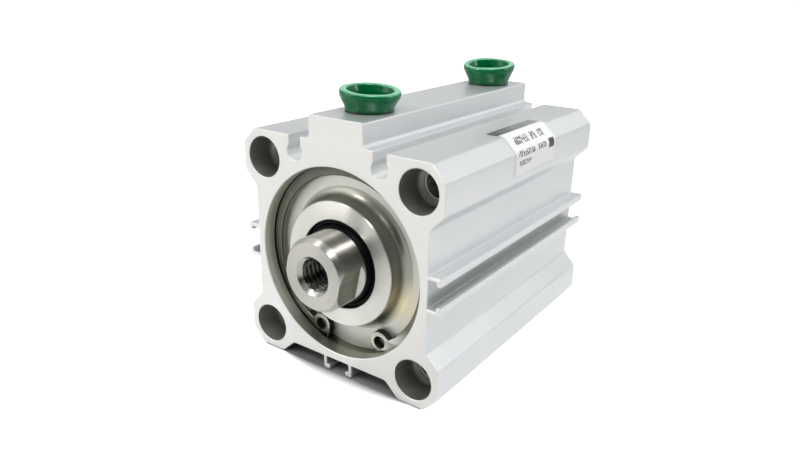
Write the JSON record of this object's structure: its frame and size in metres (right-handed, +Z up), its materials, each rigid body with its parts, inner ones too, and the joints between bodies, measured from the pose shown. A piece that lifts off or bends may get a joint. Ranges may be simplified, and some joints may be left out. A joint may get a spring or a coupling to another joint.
{
  "type": "compact pneumatic cylinder",
  "caption": "Compact double-acting pneumatic cylinder: square aluminium tube with sensor rails, ringed rod cover, tapped piston rod with spanner flats, magnetic piston and plugged air ports.",
  "frame": {"origin": "where the rod axis meets the plane of the front mounting face", "axes": "+X along the rod, out of the front; +Z up, the way the air ports point; +Y to the labelled side"},
  "size_m": [0.0769, 0.0521, 0.062],
  "materials": {
    "anodised_aluminium": "satin clear anodised extrusion with machined ends",
    "turned_aluminium": "turned, fine circular marks",
    "chromed_steel": "hard chromed and polished",
    "ring_steel": "phosphated spring steel",
    "screw_steel": "zinc plated",
    "black_rubber": "smooth nitrile",
    "bumper_urethane": "moulded urethane",
    "bush_bronze": "sintered bronze",
    "wear_resin": "unfilled resin",
    "bonded_magnet": "moulded ferrite",
    "green_plastic": "soft moulded polyethylene",
    "label_film": "bare printed film"
  },
  "bodies": {
    "tube": {"cylinder_tube": "anodised_aluminium", "rod_cover": "turned_aluminium", "rod_bush": "bush_bronze", "rod_seal": "black_rubber", "cover_o_ring": "black_rubber", "retaining_ring": "ring_steel", "head_plate": "turned_aluminium", "head_o_ring": "black_rubber", "label": "label_film"},
    "bore_rings": {"piston_seal": "black_rubber", "wear_ring": "wear_resin"},
    "rod": {"piston_rod": "chromed_steel", "piston_front": "turned_aluminium", "piston_rear": "turned_aluminium", "magnet": "bonded_magnet", "front_bumper": "bumper_urethane", "rear_bumper": "bumper_urethane", "piston_screw": "screw_steel", "rod_o_ring": "black_rubber"},
    "front_plug": {"front_port_plug": "green_plastic"},
    "rear_plug": {"rear_port_plug": "green_plastic"}
  },
  "joints": [
    {"name": "rod_slide", "type": "slide", "parent": "tube", "child": "bore_rings", "axis": [1, 0, 0], "range_m": [0, 0.03]},
    {"name": "rod_turn", "type": "hinge", "parent": "bore_rings", "child": "rod", "pos_m": [0, 0, 0], "axis": [1, 0, 0], "continuous": true},
    {"name": "front_plug_pull", "type": "slide", "parent": "tube", "child": "front_plug", "axis": [0, 0, 1], "range_m": [0, 0.007]},
    {"name": "rear_plug_pull", "type": "slide", "parent": "tube", "child": "rear_plug", "axis": [0, 0, 1], "range_m": [0, 0.007]}
  ]
}
